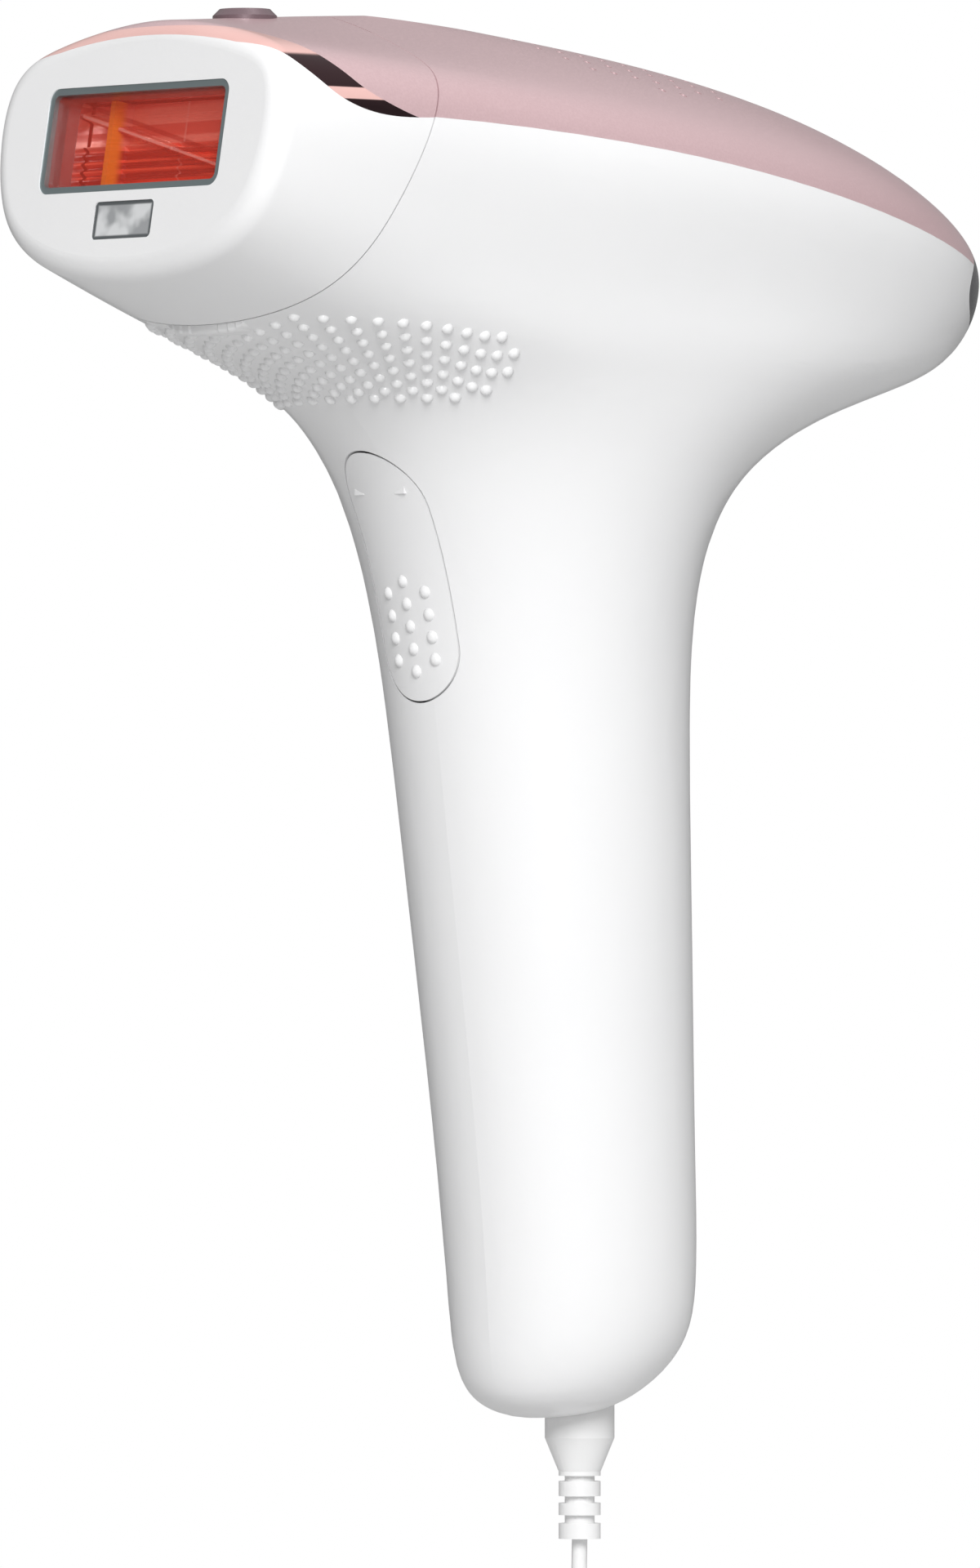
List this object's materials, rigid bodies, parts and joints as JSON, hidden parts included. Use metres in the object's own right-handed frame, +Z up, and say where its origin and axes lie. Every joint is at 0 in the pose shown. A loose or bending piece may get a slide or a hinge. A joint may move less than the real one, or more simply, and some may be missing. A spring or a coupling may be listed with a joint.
{
  "type": "ipl hair remover",
  "caption": "T-shaped corded light epilator with a pull-off nose, orange filter window, trigger under the head and a plug-in lead with wall adapter.",
  "frame": {"origin": "middle of the grip, on the axis of the power plug, 70 mm above the lowest point of the handle", "axes": "+Z up the handle to the head, +X towards the nose and its light window, +Y to the left"},
  "size_m": [0.1812, 0.0666, 0.2813],
  "materials": {
    "gloss_white": "high gloss",
    "satin_rose": "satin pearl",
    "rose_gold": "polished rose gold",
    "mauve": "satin",
    "graphite": "gloss",
    "graphite_button": "satin",
    "light_lens": "frosted",
    "blue_steel": "satin",
    "amber_glass": "clear orange-red",
    "mirror_metal": "mirror polished",
    "clear_window": "clear",
    "board_green": "solder mask",
    "spring_steel": "plain",
    "black_plastic": "matte",
    "switch_red": "matte",
    "lamp_glass": "clear",
    "tube_cap_metal": "plain",
    "grey_ceramic": "matte",
    "grey_plastic": "matte",
    "transformer_yellow": "taped",
    "sink_metal": "plain",
    "capacitor_sleeve": "sleeved",
    "contact_brass": "plain",
    "plug_white": "satin",
    "barrel_nickel": "plated",
    "cord_white": "satin",
    "tie_black": "woven strap",
    "pin_nickel": "plated"
  },
  "bodies": {
    "device": {"housing": "gloss_white", "top_cover": "satin_rose", "tail_panel": "graphite", "level_lights": "light_lens", "indicator_board": "board_green", "pivot_pin": "spring_steel", "micro_switch": "black_plastic", "switch_board": "board_green", "lamp_mirror": "mirror_metal", "flash_tube": "lamp_glass", "tube_caps": "tube_cap_metal", "lamp_holder": "grey_ceramic", "front_collar": "grey_plastic", "main_board": "board_green", "board_posts": "grey_plastic", "board_screws": "spring_steel", "charging_transformer": "transformer_yellow", "board_chips": "black_plastic", "heat_sink": "sink_metal", "fan_frame": "black_plastic", "flash_capacitor": "capacitor_sleeve", "capacitor_supports": "grey_plastic", "power_socket": "black_plastic", "socket_contacts": "contact_brass", "socket_support": "grey_plastic", "power_plug": "plug_white", "plug_barrel": "barrel_nickel", "cord": "cord_white", "cord_end": "cord_white", "cord_coil": "cord_white", "adapter_body": "plug_white", "adapter_cover": "plug_white", "mains_pins": "pin_nickel", "adapter_relief": "plug_white", "coil_tie": "tie_black"},
    "attachment": {"nose_shell": "gloss_white", "accent_trim": "rose_gold", "nose_cap": "satin_rose", "grip_tab": "mauve", "window_frame": "blue_steel", "filter_glass": "amber_glass", "mirror_tunnel": "mirror_metal", "sensor_window": "clear_window", "sensor_board": "board_green", "nose_clips": "spring_steel", "coding_block": "black_plastic"},
    "flash_button": {"flash_button": "gloss_white"},
    "switch_plunger": {"switch_plunger": "switch_red"},
    "fan_rotor": {"fan_rotor": "black_plastic"},
    "power_button": {"power_button": "graphite_button"}
  },
  "joints": [
    {"name": "nose_slide", "type": "slide", "parent": "device", "child": "attachment", "axis": [0.9848, 0, 0.1736], "range_m": [0, 0.03]},
    {"name": "flash_hinge", "type": "hinge", "parent": "device", "child": "flash_button", "pos_m": [0.0342, 0, 0.0674], "axis": [0, 1, 0], "range_deg": [0, 2.5]},
    {"name": "plunger_slide", "type": "slide", "parent": "device", "child": "switch_plunger", "axis": [-1, 0, 0], "range_m": [0, 0.00107]},
    {"name": "fan_spin", "type": "hinge", "parent": "device", "child": "fan_rotor", "pos_m": [0.002, 0, 0.114], "axis": [0, 0, 1], "continuous": true},
    {"name": "power_press", "type": "slide", "parent": "device", "child": "power_button", "axis": [1, 0, 0], "range_m": [0, 0.0008]}
  ],
  "couplings": [
    {"joint": "plunger_slide", "follows": "flash_hinge", "m_per_rad": 0.0244}
  ]
}
